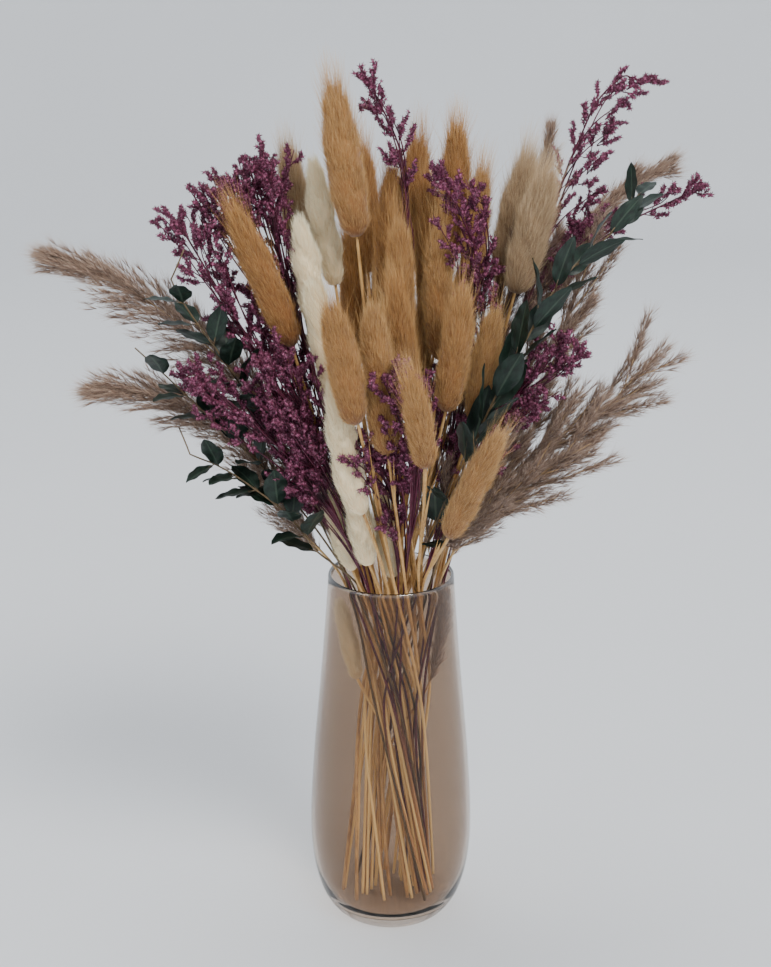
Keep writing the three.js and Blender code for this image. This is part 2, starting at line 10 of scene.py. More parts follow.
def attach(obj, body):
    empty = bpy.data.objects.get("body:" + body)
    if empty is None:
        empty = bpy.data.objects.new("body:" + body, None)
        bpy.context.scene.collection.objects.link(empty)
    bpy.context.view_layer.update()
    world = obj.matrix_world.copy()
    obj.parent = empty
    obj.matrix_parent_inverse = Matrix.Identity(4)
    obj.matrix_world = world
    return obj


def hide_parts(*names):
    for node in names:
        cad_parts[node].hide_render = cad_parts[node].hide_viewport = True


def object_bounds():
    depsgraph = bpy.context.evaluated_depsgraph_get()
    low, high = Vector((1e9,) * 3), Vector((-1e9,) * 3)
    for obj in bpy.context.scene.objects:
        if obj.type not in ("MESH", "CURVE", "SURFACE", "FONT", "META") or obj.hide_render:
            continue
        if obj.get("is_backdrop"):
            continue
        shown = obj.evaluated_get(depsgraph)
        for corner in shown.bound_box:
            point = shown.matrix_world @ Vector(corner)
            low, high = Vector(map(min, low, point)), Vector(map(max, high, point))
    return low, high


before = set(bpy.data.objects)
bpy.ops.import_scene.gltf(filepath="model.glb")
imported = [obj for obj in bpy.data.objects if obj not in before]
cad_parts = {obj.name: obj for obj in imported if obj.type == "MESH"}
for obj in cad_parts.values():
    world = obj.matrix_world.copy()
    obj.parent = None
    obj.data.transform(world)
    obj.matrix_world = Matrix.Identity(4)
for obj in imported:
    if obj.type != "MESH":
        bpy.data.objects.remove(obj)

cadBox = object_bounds()
mm = 0.001
dice = np.random.default_rng(41)
up = np.array([0.0, 0.0, 1.0])


def unit(rows):
    rows = np.asarray(rows, float)
    size = np.linalg.norm(rows, axis=-1, keepdims=True)
    return rows / np.maximum(size, 1e-9)


def lerp(a, b, t):
    return a + (b - a) * t


def tone(red, green, blue):
    # screen colour 0 to 255 turned into the linear colour that shaders use
    parts = [c / 255 for c in (red, green, blue)]
    parts = [c / 12.92 if c <= 0.04045 else ((c + 0.055) / 1.055) ** 2.4 for c in parts]
    return tuple(parts) + (1.0,)


def smoothLine(points, values, spacing):
    # points and their values resampled along a Catmull-Rom curve
    points = np.asarray(points, float)
    values = np.asarray(values, float)
    padded = np.vstack([2 * points[0] - points[1], points, 2 * points[-1] - points[-2]])
    outPoints, outValues = [], []
    for i in range(len(points) - 1):
        a, b, c, d = padded[i:i + 4]
        count = max(1, int(round(np.linalg.norm(c - b) / spacing)))
        t = (np.arange(count) / count)[:, None]
        pull = min(1.0, np.linalg.norm(c - b) / (np.linalg.norm(b - a) + 1e-6))
        push = min(1.0, np.linalg.norm(c - b) / (np.linalg.norm(d - c) + 1e-6))
        m1 = (c - a) / 2 * (0.4 + 0.6 * pull)
        m2 = (d - b) / 2 * (0.4 + 0.6 * push)
        t2, t3 = t * t, t * t * t
        leave = (2 * t3 - 3 * t2 + 1) * b + (t3 - 2 * t2 + t) * m1
        outPoints.append(leave + (3 * t2 - 2 * t3) * c + (t3 - t2) * m2)
        ease = t[:, 0]
        outValues.append(lerp(values[i], values[i + 1], ease * ease * (3 - 2 * ease)))
    outPoints.append(points[-1:])
    outValues.append(values[-1:])
    return np.vstack(outPoints), np.concatenate(outValues)


def tangentsOf(points):
    return unit(np.gradient(points, axis=0))


def framesOf(points):
    # directions along, across and up for every point, turned as little as possible
    ahead = tangentsOf(points)
    side = np.cross(up, ahead[0])
    side = side if np.linalg.norm(side) > 0.1 else np.array([1.0, 0, 0])
    sides = []
    for direction in ahead:
        side = side - direction * np.dot(side, direction)
        side = side / np.linalg.norm(side)
        sides.append(side)
    sides = np.array(sides)
    return ahead, sides, np.cross(ahead, sides)


def lengthsOf(points):
    steps = np.linalg.norm(np.diff(points, axis=0), axis=1)
    return np.concatenate([[0], np.cumsum(steps)])


def along(points, distances, wanted):
    return np.stack([np.interp(wanted, distances, points[:, k]) for k in range(3)], axis=1)


def aroundLine(across, other, distances, wanted, turn):
    # the direction away from a line at each wanted length, turned about it
    first, second = along(across, distances, wanted), along(other, distances, wanted)
    return np.cos(turn)[:, None] * first + np.sin(turn)[:, None] * second


def anyAcross(directions):
    # one random direction square to each given direction
    across = np.cross(directions, dice.normal(size=directions.shape))
    return unit(across)


class Shape:
    # gathers points in millimetres, faces and their map places, and makes one mesh of them
    def __init__(self):
        self.points, self.faces, self.maps, self.count = [], [], [], 0

    def add(self, points, faces, maps):
        self.points.append(points.reshape(-1, 3))
        for face, place in zip(faces, maps):
            self.faces.append(face + self.count)
            self.maps.append(place.reshape(-1, 2))
        self.count += len(self.points[-1])

    def build(self, name, paint, node, slotName):
        mesh = bpy.data.meshes.new(name)
        points = np.concatenate(self.points) * mm
        corners = np.concatenate([f.ravel() for f in self.faces]).astype(np.int32)
        sizes = np.concatenate([np.full(len(f), f.shape[1]) for f in self.faces])
        starts = np.concatenate([[0], np.cumsum(sizes)[:-1]]).astype(np.int32)
        mesh.vertices.add(len(points))
        mesh.vertices.foreach_set("co", points.ravel().astype(np.float32))
        mesh.loops.add(len(corners))
        mesh.loops.foreach_set("vertex_index", corners)
        mesh.polygons.add(len(sizes))
        mesh.polygons.foreach_set("loop_start", starts)
        mesh.polygons.foreach_set("use_smooth", np.ones(len(sizes), dtype=bool))
        layer = mesh.uv_layers.new(name="OFBake")
        layer.uv.foreach_set("vector", np.concatenate(self.maps).ravel().astype(np.float32))
        mesh.update(calc_edges=True)
        mesh.validate()
        mesh.materials.append(paint)
        piece = bpy.data.objects.new(name, mesh)
        bpy.context.scene.collection.objects.link(piece)
        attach(piece, "root")
        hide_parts(node)
        return piece


def strands(shape, roots, aims, sizes, widths, bends, steps=3, blunt=0.0):
    # many thin tapered blades: each starts at its root, heads along its aim and curves by its bend
    count = len(roots)
    t = np.linspace(0, 1, steps + 1)
    lengths = np.asarray(sizes, float).reshape(-1, 1, 1)
    line = roots[:, None] + aims[:, None] * lengths * t[None, :, None]
    line = line + bends[:, None] * lengths * (t ** 2)[None, :, None]
    side = anyAcross(aims)[:, None]
    half = np.asarray(widths, float).reshape(-1, 1, 1) / 2
    pointed, rounded = (1 - t) ** 0.8, np.sin(np.pi * (0.12 + 0.86 * t))
    profile = ((1 - blunt) * pointed + blunt * rounded)[None, :-1, None]
    left = line[:, :-1] - side * half * profile
    right = line[:, :-1] + side * half * profile
    pairs = np.stack([left, right], axis=2).reshape(count, -1, 3)
    points = np.concatenate([pairs, line[:, -1:]], axis=1)
    each = 2 * steps + 1
    first = (np.arange(count) * each)[:, None, None]
    k = np.arange(steps - 1) * 2
    quads = first + np.stack([k, k + 1, k + 3, k + 2], axis=1)[None]
    tips = first[:, 0] + np.array([2 * steps - 2, 2 * steps - 1, 2 * steps])[None]
    u = 0.02 + 0.95 * dice.random(count)
    vv = 0.02 + 0.95 * t
    quadMap = np.empty((count, steps - 1, 4, 2))
    for corner, (du, dv) in enumerate(((0, 0), (0.008, 0), (0.008, 1), (0, 1))):
        quadMap[:, :, corner, 0] = (u + du)[:, None]
        quadMap[:, :, corner, 1] = vv[np.arange(steps - 1) + dv][None]
    tipMap = np.empty((count, 3, 2))
    for corner, (du, level) in enumerate(((0, steps - 1), (0.008, steps - 1), (0.004, steps))):
        tipMap[:, corner, 0] = u + du
        tipMap[:, corner, 1] = vv[level]
    shape.add(points, [quads.reshape(-1, 4), tips], [quadMap, tipMap])


def ringFaces(n, sides):
    # the side faces of a tube of n rings, then its ends, whose middles are the last two points
    i = np.arange(n - 1)[:, None] * sides
    j = np.arange(sides)
    k = (j + 1) % sides
    quads = np.stack([i + j, i + k, i + sides + k, i + sides + j], axis=2).reshape(-1, 4)
    last = (n - 1) * sides
    capLow = np.stack([np.full(sides, n * sides), k, j], axis=1)
    capHigh = np.stack([np.full(sides, n * sides + 1), last + j, last + k], axis=1)
    return quads, capLow, capHigh


def ringMaps(u, v):
    # the map places of those side faces: u goes round the tube and v along it
    maps = np.empty((len(v) - 1, len(u) - 1, 4, 2))
    for corner, (di, dj) in enumerate(((0, 0), (0, 1), (1, 1), (1, 0))):
        maps[:, :, corner, 0] = u[np.arange(len(u) - 1) + dj][None]
        maps[:, :, corner, 1] = v[np.arange(len(v) - 1) + di][:, None]
    return maps


def tube(shape, points, radii, sides, column=(0.0, 1.0), rows=(0.02, 0.98), lumpy=0.0):
    # a round stem along a line, closed at both ends
    _, across, other = framesOf(points)
    angle = np.arange(sides + 1) / sides * 2 * np.pi
    turn = angle[None, :-1, None]
    ring = np.cos(turn) * across[:, None] + np.sin(turn) * other[:, None]
    wobble = 1 + lumpy * dice.normal(size=(len(points), sides, 1))
    shell = points[:, None] + ring * np.asarray(radii)[:, None, None] * wobble
    allPoints = np.concatenate([shell.reshape(-1, 3), points[:1], points[-1:]])
    length = lengthsOf(points)
    v = lerp(rows[0], rows[1], length / length[-1])
    u = lerp(column[0], column[1], np.arange(sides + 1) / sides)
    lowMap = np.tile(np.array([[u[0], v[0]]]), (sides * 3, 1))
    highMap = np.tile(np.array([[u[0], v[-1]]]), (sides * 3, 1))
    shape.add(allPoints, ringFaces(len(points), sides), [ringMaps(u, v), lowMap, highMap])


def nodeMesh(name):
    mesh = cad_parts[name].data
    points = np.empty(len(mesh.vertices) * 3, dtype=np.float32)
    mesh.vertices.foreach_get("co", points)
    points = points.reshape(-1, 3) / mm
    mesh.calc_loop_triangles()
    triangles = np.empty(len(mesh.loop_triangles) * 3, dtype=np.int32)
    mesh.loop_triangles.foreach_get("vertices", triangles)
    _, first, joined = np.unique(np.round(points, 2), axis=0, return_index=True, return_inverse=True)
    triangles = joined.ravel()[triangles].reshape(-1, 3)
    triangles = triangles[(triangles[:, 0] != triangles[:, 1]) & (triangles[:, 1] != triangles[:, 2])]
    return points[first], triangles


def neighboursOf(count, triangles):
    near = [set() for _ in range(count)]
    for a, b, c in triangles:
        near[a].update((b, c))
        near[b].update((a, c))
        near[c].update((a, b))
    return near


def ringLine(name):
    # centre and radius of each ring of a plain stalk, from its foot to its tip
    points, triangles = nodeMesh(name)
    near = neighboursOf(len(points), triangles)
    lowest = points[np.argmin(points[:, 2])]
    level = set(np.nonzero(np.linalg.norm(points - lowest, axis=1) < 3)[0])
    seen = set(level)
    centres, radii = [], []
    while level:
        ring = points[list(level)]
        if len(ring) >= 3:
            centre = ring.mean(axis=0)
            centres.append(centre)
            radii.append(np.linalg.norm(ring - centre, axis=1).max())
        level = {other for index in level for other in near[index]} - seen
        seen |= level
    return np.array(centres), np.array(radii)


def middleOf(points, normals, tree, widest):
    # each point moved half way through the solid
    middles = points.copy()
    for i, (point, normal) in enumerate(zip(points, normals)):
        start = Vector(point - normal * 0.02)
        hit = tree.ray_cast(start, Vector(-normal), widest)[0]
        if hit is not None:
            middles[i] = (point + np.array(hit)) / 2
    return middles


def branchLines(name, widest):
    # every branch of a stalk as {"line", "radius", "flat"}: the main stem first, then its side shoots
    points, triangles = nodeMesh(name)
    near = neighboursOf(len(points), triangles)
    corners = [tuple(int(i) for i in t) for t in triangles]
    tree = BVHTree.FromPolygons([Vector(p) for p in points], corners)
    first, second, third = (points[triangles[:, k]] for k in range(3))
    cross = np.cross(second - first, third - first)
    normals = np.zeros_like(points)
    for k in range(3):
        np.add.at(normals, triangles[:, k], cross)
    middles = middleOf(points, unit(normals), tree, widest)
    group = list(range(len(points)))

    def top(i):
        while group[i] != i:
            group[i] = group[group[i]]
            i = group[i]
        return i

    for i, others in enumerate(near):
        for j in others:
            close = np.linalg.norm(middles[i] - middles[j]) < 1.3
            if close and np.linalg.norm(points[i] - points[j]) < widest * 1.05:
                group[top(i)] = top(j)
    tops = [top(i) for i in range(len(points))]
    names = sorted(set(tops))
    index = {t: k for k, t in enumerate(names)}
    member = np.array([index[t] for t in tops])
    centres = np.array([middles[member == k].mean(axis=0) for k in range(len(names))])
    offsets = np.linalg.norm(points - centres[member], axis=1)
    radii = np.array([offsets[member == k].max() for k in range(len(names))])
    links = [{} for _ in names]
    for i, others in enumerate(near):
        for j in others:
            a, b = member[i], member[j]
            if a != b:
                links[a][b] = links[b][a] = float(np.linalg.norm(centres[a] - centres[b])) + 0.2
    start = int(np.argmin(centres[:, 2]))
    far, parent = {start: 0.0}, {start: -1}
    queue = [(0.0, start)]
    while queue:
        distance, at = heapq.heappop(queue)
        if distance > far[at]:
            continue
        for other, step in links[at].items():
            if distance + step < far.get(other, 1e9):
                far[other] = distance + step
                parent[other] = at
                heapq.heappush(queue, (distance + step, other))
    return pickBranches(points, member, centres, radii, far, parent)


def pickBranches(points, member, centres, radii, far, parent):
    parents = set(parent.values())
    tips = sorted((k for k in far if k not in parents), key=lambda k: -far[k])
    used, branches = set(), []
    for tip in tips:
        chain, at = [], tip
        while at != -1 and at not in used:
            chain.append(at)
            at = parent[at]
        used.update(chain)
        if at != -1:
            chain.append(at)
        chain = chain[::-1]
        own = lengthsOf(centres[chain])
        if branches and (len(chain) < 3 or own[-1] < 7):
            continue
        keep = [0]
        for k in range(1, len(chain)):
            if own[k] - own[keep[-1]] > 1.5:
                keep.append(k)
        if len(keep) < 2:
            continue
        if keep[-1] != len(chain) - 1:
            keep[-1] = len(chain) - 1
        chain = [chain[k] for k in keep]
        widest = max(chain[1:], key=lambda k: radii[k])
        ring = points[member == widest] - centres[widest]
        flat = None
        if len(ring) >= 3:
            values, vectors = np.linalg.eigh(ring.T @ ring)
            if values[2] > 9 * values[1]:
                flat = vectors[:, 2]
        branches.append({"line": centres[chain], "radius": radii[chain], "flat": flat})
    return branches


def leafPatches(name, mainLine):
    # each leaf of a sprig as (base, tip, direction across, half width)
    points, triangles = nodeMesh(name)
    near = neighboursOf(len(points), triangles)
    reach = lengthsOf(mainLine)
    dense = along(mainLine, reach, np.arange(0, reach[-1], 0.8))
    gaps = np.array([np.linalg.norm(dense - p, axis=1).min() for p in points])
    waiting = set(np.nonzero(gaps > 4.2)[0])
    patches = []
    while waiting:
        seeds, group = [waiting.pop()], set()
        while seeds:
            at = seeds.pop()
            group.add(at)
            fresh = near[at] & waiting
            waiting -= fresh
            seeds += list(fresh)
        if len(group) >= 5:
            patches.append(leafPatch(points[list(group)], dense))
    return [patch for patch in patches if patch]


def leafPatch(cloud, dense):
    centre = cloud.mean(axis=0)
    _, vectors = np.linalg.eigh((cloud - centre).T @ (cloud - centre))
    forward, side = vectors[:, 2], vectors[:, 1]
    offset = dense - centre
    miss = np.linalg.norm(offset - np.outer(offset @ forward, forward), axis=1)
    miss = miss + 0.25 * np.linalg.norm(offset, axis=1)
    base = dense[np.argmin(miss)]
    forward = forward if np.dot(centre - base, forward) > 0 else -forward
    tip = base + forward * ((cloud - base) @ forward).max()
    half = np.abs((cloud - centre) @ side).max()
    if np.linalg.norm(tip - base) < 6 or half < 1.5:
        return None
    return base, tip, side, half


class Wire:
    # a node socket that can be added, multiplied and so on
    def __init__(self, paint, socket):
        self.paint, self.socket = paint, socket

    def maths(self, operation, *values):
        return self.paint.node("ShaderNodeMath", {"operation": operation}, dict(enumerate(values)))

    def __add__(self, other): return self.maths("ADD", self, other)
    def __sub__(self, other): return self.maths("SUBTRACT", self, other)
    def __mul__(self, other): return self.maths("MULTIPLY", self, other)
    def __radd__(self, other): return self.maths("ADD", other, self)
    def __rsub__(self, other): return self.maths("SUBTRACT", other, self)
    def __rmul__(self, other): return self.maths("MULTIPLY", other, self)


class Paint:
    # one material and its nodes
    def __init__(self, name):
        self.material = bpy.data.materials.new(name)
        self.material.use_nodes = True
        self.tree = self.material.node_tree
        self.tree.nodes.clear()

    def node(self, kind, settings=None, values=None, out=0):
        made = self.tree.nodes.new(kind)
        for key, value in (settings or {}).items():
            if key == "stops":
                ramp = made.color_ramp
                while len(ramp.elements) < len(value):
                    ramp.elements.new(0.5)
                for element, (place, colour) in zip(ramp.elements, value):
                    element.position = place
                    element.color = colour
            else:
                setattr(made, key, value)
        for key, value in (values or {}).items():
            if isinstance(value, Wire):
                self.tree.links.new(value.socket, made.inputs[key])
            else:
                made.inputs[key].default_value = value
        return Wire(self, made.outputs[out]) if made.outputs else None

    def blend(self, factor, first, second, kind="MIX"):
        settings = {"data_type": "RGBA", "blend_type": kind, "clamp_result": True}
        return self.node("ShaderNodeMix", settings, {0: factor, 6: first, 7: second}, 2)

    def mapPlace(self):
        place = self.node("ShaderNodeUVMap", {"uv_map": "OFBake"})
        parts = self.node("ShaderNodeSeparateXYZ", {}, {0: place})
        return place, parts, Wire(self, parts.socket.node.outputs[1])

    def noise(self, place, scale, detail=3.0, stretch=(1, 1, 1)):
        moved = self.node("ShaderNodeVectorMath", {"operation": "MULTIPLY"}, {0: place, 1: stretch})
        values = {"Vector": moved, "Scale": scale, "Detail": detail}
        return self.node("ShaderNodeTexNoise", {}, values)

    def ramp(self, factor, stops):
        return self.node("ShaderNodeValToRGB", {"stops": stops}, {0: factor})

    def spot(self):
        return self.node("ShaderNodeNewGeometry")

    def rise(self, low, high):
        # 0 below the low height and 1 above the high one, in metres
        parts = self.node("ShaderNodeSeparateXYZ", {}, {0: self.spot()})
        height = Wire(self, parts.socket.node.outputs[2])
        return self.node("ShaderNodeMapRange", {}, {0: height, 1: low, 2: high})

    def finish(self, surface):
        self.node("ShaderNodeOutputMaterial", {}, {"Surface": surface})
        return self.material


def principled(paint, colour, roughness, **more):
    values = {"Base Color": colour, "Roughness": roughness}
    values.update({key.replace("_", " "): value for key, value in more.items()})
    return paint.node("ShaderNodeBsdfPrincipled", {}, values)


def hairPaint(name, root, middle, tip, light=0.5):
    # soft hair: dark at the root and pale at the tip, partly the hair's own colour and partly painted
    # light: the dark roots are painted shade deep among the hairs and the pale tips a painted halo of
    # light through them; each hair a little different
    paint = Paint(name)
    place, _, v = paint.mapPlace()
    # root to tip ramp: painted shade at the roots, painted halo at the tips
    body = paint.ramp(v, [(0.0, root), (0.4, middle), (1.0, tip)])
    shade = paint.noise(place, 160.0, 2.0, (1, 0.02, 1))
    stops = [(0.3, (0.62, 0.56, 0.5, 1)), (0.52, (1, 1, 1, 1)), (0.72, (1.25, 1.22, 1.15, 1))]
    streak = paint.ramp(shade, stops)
    colour = paint.blend(light, body, streak, "MULTIPLY")
    return paint.finish(principled(paint, colour, 0.72, Sheen_Weight=0.3, Sheen_Roughness=0.5,
                                   Specular_IOR_Level=0.25))


def strawPaint(name, pale, dark):
    paint = Paint(name)
    place = paint.spot()
    grain = paint.noise(place, 900.0, 3.0, (1, 1, 0.06))
    patch = paint.noise(place, 45.0, 2.0)
    mixed = paint.ramp(grain * 0.55 + patch * 0.5, [(0.36, dark), (0.6, pale)])
    bump = paint.node("ShaderNodeBump", {}, {"Strength": 0.35, "Distance": 0.0003, "Height": grain})
    return paint.finish(principled(paint, mixed, 0.52, Normal=bump))


def twigPaint(name, pale, dark, paleFootOrPaintedLight, low, high):
    # a stem whose colour changes to a foot colour below two heights: for the statice twigs a paler
    # foot that they have, for the straw stems painted light that brightens them inside the vase's
    # glass
    paint = Paint(name)
    place = paint.spot()
    grain = paint.noise(place, 900.0, 3.0, (1, 1, 0.06))
    patch = paint.noise(place, 45.0, 2.0)
    mixed = paint.ramp(grain * 0.55 + patch * 0.5, [(0.36, dark), (0.6, pale)])
    colour = paint.blend(paint.rise(low, high), paleFootOrPaintedLight, mixed)
    return paint.finish(principled(paint, colour, 0.52))


def floretPaint(name, throat, middle, edge):
    paint = Paint(name)
    place, _, v = paint.mapPlace()
    petal = paint.ramp(v, [(0.0, throat), (0.35, middle), (0.85, edge), (1.0, edge)])
    each = paint.noise(place, 190.0, 1.0, (1, 0.0, 1))
    stops = [(0.32, (0.42, 0.34, 0.4, 1)), (0.5, (1, 1, 1, 1)), (0.68, (1.5, 1.75, 1.6, 1))]
    hue = paint.ramp(each, stops)
    colour = paint.blend(0.85, petal, hue, "MULTIPLY")
    return paint.finish(principled(paint, colour, 0.62, Sheen_Weight=0.15, Specular_IOR_Level=0.3))


def leafPaint(name, dark, pale, grid):
    paint = Paint(name)
    place, u, v = paint.mapPlace()
    across = u.maths("FRACT", u * float(grid))
    lengthwise = v.maths("FRACT", v * float(grid))
    off = across.maths("ABSOLUTE", across - 0.5)
    vein = off.maths("LESS_THAN", off, 0.035)
    slant = off.maths("SINE", (lengthwise - off * 0.7) * 62.0)
    sideVein = slant.maths("SMOOTH_MAX", slant - 0.82, 0.0, 0.1) * 2.2
    patch = paint.noise(place, 26.0, 3.0)
    blade = paint.ramp(patch, [(0.35, dark), (0.68, pale)])
    lined = paint.blend(vein * 0.22 + sideVein * 0.07, blade, tone(92, 112, 92))
    edge = paint.ramp(off, [(0.38, (1, 1, 1, 1)), (0.5, (0.6, 0.62, 0.55, 1))])
    colour = paint.blend(0.7, lined, edge, "MULTIPLY")
    height = patch * 0.4 - vein * 0.8 - sideVein * 0.35
    bump = paint.node("ShaderNodeBump", {}, {"Strength": 0.5, "Distance": 0.0004, "Height": height})
    return paint.finish(principled(paint, colour, 0.46, Normal=bump, Specular_IOR_Level=0.4))


def glassPaint(name, tint, rimPaintedLight, low, high):
    # smoky glass; between two heights at the rim a paler tint, painted light that clears the dark
    # ring there and stands for the lip's highlight, and a glossier coat
    paint = Paint(name)
    rise = paint.rise(low, high)
    glass = principled(paint, paint.blend(rise, tint, rimPaintedLight), 0.01, Transmission_Weight=1.0, IOR=1.33,
                       Coat_Weight=rise, Coat_IOR=1.9)
    clear = paint.node("ShaderNodeBsdfTransparent", {}, {"Color": (0.96, 0.94, 0.92, 1)})
    rays = paint.node("ShaderNodeLightPath")
    shadow = Wire(paint, rays.socket.node.outputs["Is Shadow Ray"])
    bounce = Wire(paint, rays.socket.node.outputs["Is Diffuse Ray"])
    through = shadow.maths("MAXIMUM", shadow, bounce)
    return paint.finish(paint.node("ShaderNodeMixShader", {}, {0: through, 1: glass, 2: clear}))


paints = {
    # hair ramps from root to tip: the dark roots are partly painted shade among the hairs, the pale
    # tips partly a painted halo
    "gold": [
        hairPaint("goldenHairA", tone(116, 70, 30), tone(184, 134, 74), tone(234, 194, 134), 0.22),
        hairPaint("goldenHairB", tone(122, 76, 36), tone(190, 142, 82), tone(238, 202, 144), 0.22),
        hairPaint("goldenHairC", tone(110, 64, 26), tone(176, 124, 66), tone(228, 186, 124), 0.22)],
    "beige": [
        hairPaint("beigeHair", tone(122, 92, 62), tone(180, 150, 112), tone(230, 206, 168), 0.3)],
    "cream": [
        hairPaint("creamHair", tone(252, 228, 186), tone(255, 242, 208), tone(255, 250, 222), 0.14)],
    "reed": [
        hairPaint("reedHair", tone(86, 62, 52), tone(148, 120, 102), tone(210, 187, 166), 0.9)],
    # a darker plume hair whose dark tones stand for the shadowed depth among the heads: painted shade
    "reedPaintedShade": [
        hairPaint("reedHairPaintedShade", tone(44, 26, 24), tone(88, 60, 52), tone(146, 114, 98), 0.9)],
    # straw stems turn a brighter colour below the vase's neck: painted light that makes up for the
    # glass dimming them
    "straw": twigPaint("strawStemPaintedLightFoot", tone(208, 166, 104), tone(156, 110, 62), tone(255, 226, 160),
                       0.12, 0.22),
    "reedStem": strawPaint("reedStem", tone(214, 178, 122), tone(150, 112, 72)),
    "twig": strawPaint("staticeTwig", tone(92, 22, 52), tone(42, 8, 24)),
    "palerTwig": twigPaint("paleFootTwig", tone(92, 22, 52), tone(42, 8, 24), tone(206, 160, 108),
                           0.06, 0.15),
    "floret": floretPaint("staticeFloret", tone(186, 112, 146), tone(102, 30, 62), tone(74, 18, 44)),
    "leafStem": strawPaint("leafStem", tone(104, 84, 56), tone(54, 46, 32)),
    "leaf": leafPaint("darkLeaf", tone(8, 21, 15), tone(21, 43, 32), 4),
    # the pale rim tint is painted light on the vase's lip
    "glass": glassPaint("smokyGlass", tone(190, 172, 156), tone(244, 240, 236), 0.2332, 0.2352),
}
print("materials made")


tailLook = {
    "gold": {"hairs": 13000, "length": 8.8, "lean": 22, "width": 0.14, "awns": 620, "awnLength": 25,
             "core": 0.84, "ridge": 0.035, "tuft": 6},
    "beige": {"hairs": 13000, "length": 13, "lean": 20, "width": 0.14, "awns": 700, "awnLength": 26,
              "core": 0.82, "ridge": 0.05, "tuft": 9},
    "cream": {"hairs": 11000, "length": 7.4, "lean": 17, "width": 0.16, "awns": 60, "awnLength": 12,
              "core": 0.83, "ridge": 0.1, "tuft": 7},
}
smoothHeads = {3, 4, 7, 12, 13, 15, 16, 19}
kindSlot = {"gold": "golden_tail", "beige": "beige_tail", "cream": "cream_tail"}
bladeLook = {"count": 6, "low": 150, "high": 300, "mouth": 236, "length": 45, "more": 65,
             "width": 1.6}


def bunnyTail(name, kind, number):
    look = tailLook[kind]
    centres, radii = ringLine(name)
    headStart = int(np.argmax(radii > 1.6))
    stemRadii = np.minimum(radii[:headStart + 1], 0.95)
    stemLine, stemRadii = smoothLine(centres[:headStart + 1], stemRadii, 6)
    stem = Shape()
    tube(stem, stemLine, stemRadii * (1 + 0.05 * np.sin(np.arange(len(stemLine)) * 0.9)), 8)
    dryBlades(stem, stemLine)
    stem.build(name + "_stem", paints["straw"], name, kindSlot[kind])

    line, widths = smoothLine(centres[headStart:], radii[headStart:], 2.5)
    head = headFrame(line, widths)
    hair = Shape()
    tube(hair, line, widths * (look["core"] - look["ridge"]), 14, rows=(0.03, 0.22), lumpy=0.03)
    weight = np.interp(np.linspace(0, 1, 200), head["distance"] / head["total"], widths) + 1.5
    cumulative = np.cumsum(weight) / weight.sum()
    spots = np.interp(dice.random(look["hairs"]), cumulative, np.linspace(0, 1, 200)) * head["total"]
    slantHairs(hair, head, spots, look)
    awns = int(look["awns"] * (0.35 if kind == "gold" and number in smoothHeads else 1))
    spots = head["total"] * (0.35 + 0.65 * dice.random(awns) ** 0.5)
    awn = dict(look, length=look["awnLength"], lean=look["lean"] * 0.75, width=0.17)
    slantHairs(hair, head, spots, awn)
    tint = paints[kind][number % len(paints[kind])]
    hair.build(name + "_hair", tint, name, kindSlot[kind])


def dryBlades(stem, line):
    # narrow dried grass blades that hug the stem above the vase's neck
    look = bladeLook
    count = look["count"]
    distance = lengthsOf(line)
    low, high = np.interp([look["low"], look["high"]], line[:, 2], distance)
    spots = low + (high - low) * dice.random(count)
    rising = unit(along(tangentsOf(line), distance, spots))
    roots = along(line, distance, spots)
    inward = -unit(roots * np.array([1, 1, 0]))
    leaning = unit(inward + 0.3 * anyAcross(rising))
    away = np.where(roots[:, 2:] < look["mouth"], leaning, anyAcross(rising))
    lengths = np.minimum(distance[-1] - spots, look["length"] + look["more"] * dice.random(count))
    widths = look["width"] + 1.3 * dice.random(count)
    strands(stem, roots, unit(rising + away * 0.035), lengths, widths, away * 0.04, 7, 0.6)


def headFrame(line, widths):
    direction, across, other = framesOf(line)
    distance = lengthsOf(line)
    return {"line": line, "widths": widths, "direction": direction, "across": across, "other": other,
            "distance": distance, "total": distance[-1]}


def slantHairs(shape, head, spots, look):
    # hairs that leave the head at a slant and bend back along it, spread out round its blunt base
    count = len(spots)
    distance = head["distance"]
    turn = dice.random(count) * 2 * np.pi
    centre = along(head["line"], distance, spots)
    forward = unit(along(head["direction"], distance, spots))
    sideways = unit(along(head["across"], distance, spots))
    upward = unit(along(head["other"], distance, spots))
    radial = np.cos(turn)[:, None] * sideways + np.sin(turn)[:, None] * upward
    twist = np.sin(2 * turn + spots * 0.24)
    tuft = look["tuft"] * np.sin(6 * turn + spots * 0.7 + 2 * np.sin(spots * 0.4))
    reach = np.interp(spots, distance, head["widths"]) * (look["core"] + look["ridge"] * twist)
    roots = centre + radial * (reach * 0.9)[:, None]
    part = spots / head["total"]
    nearTip = np.clip((part - 0.75) / 0.25, 0, 1)
    nearBase = np.clip(1 - part / 0.12, 0, 1)
    lean = np.radians(look["lean"] + tuft + 9 * dice.normal(size=count) + 38 * nearBase)
    lean = lean * (1 - 0.4 * nearTip)
    swirl = np.cross(forward, radial) * (0.14 * dice.normal(size=count))[:, None]
    aims = unit(forward * np.cos(lean)[:, None] + radial * np.sin(lean)[:, None] + swirl)
    size = look["length"] * (0.65 + 0.55 * dice.random(count))
    size = size * (0.8 + 0.25 * nearTip - 0.3 * nearBase)
    inward = (0.15 + 0.1 * dice.normal(size=count))[:, None]
    bends = forward * (0.05 + 0.35 * nearBase)[:, None] - radial * inward
    strands(shape, roots, aims, size, look["width"] * (0.7 + 0.6 * dice.random(count)), bends)


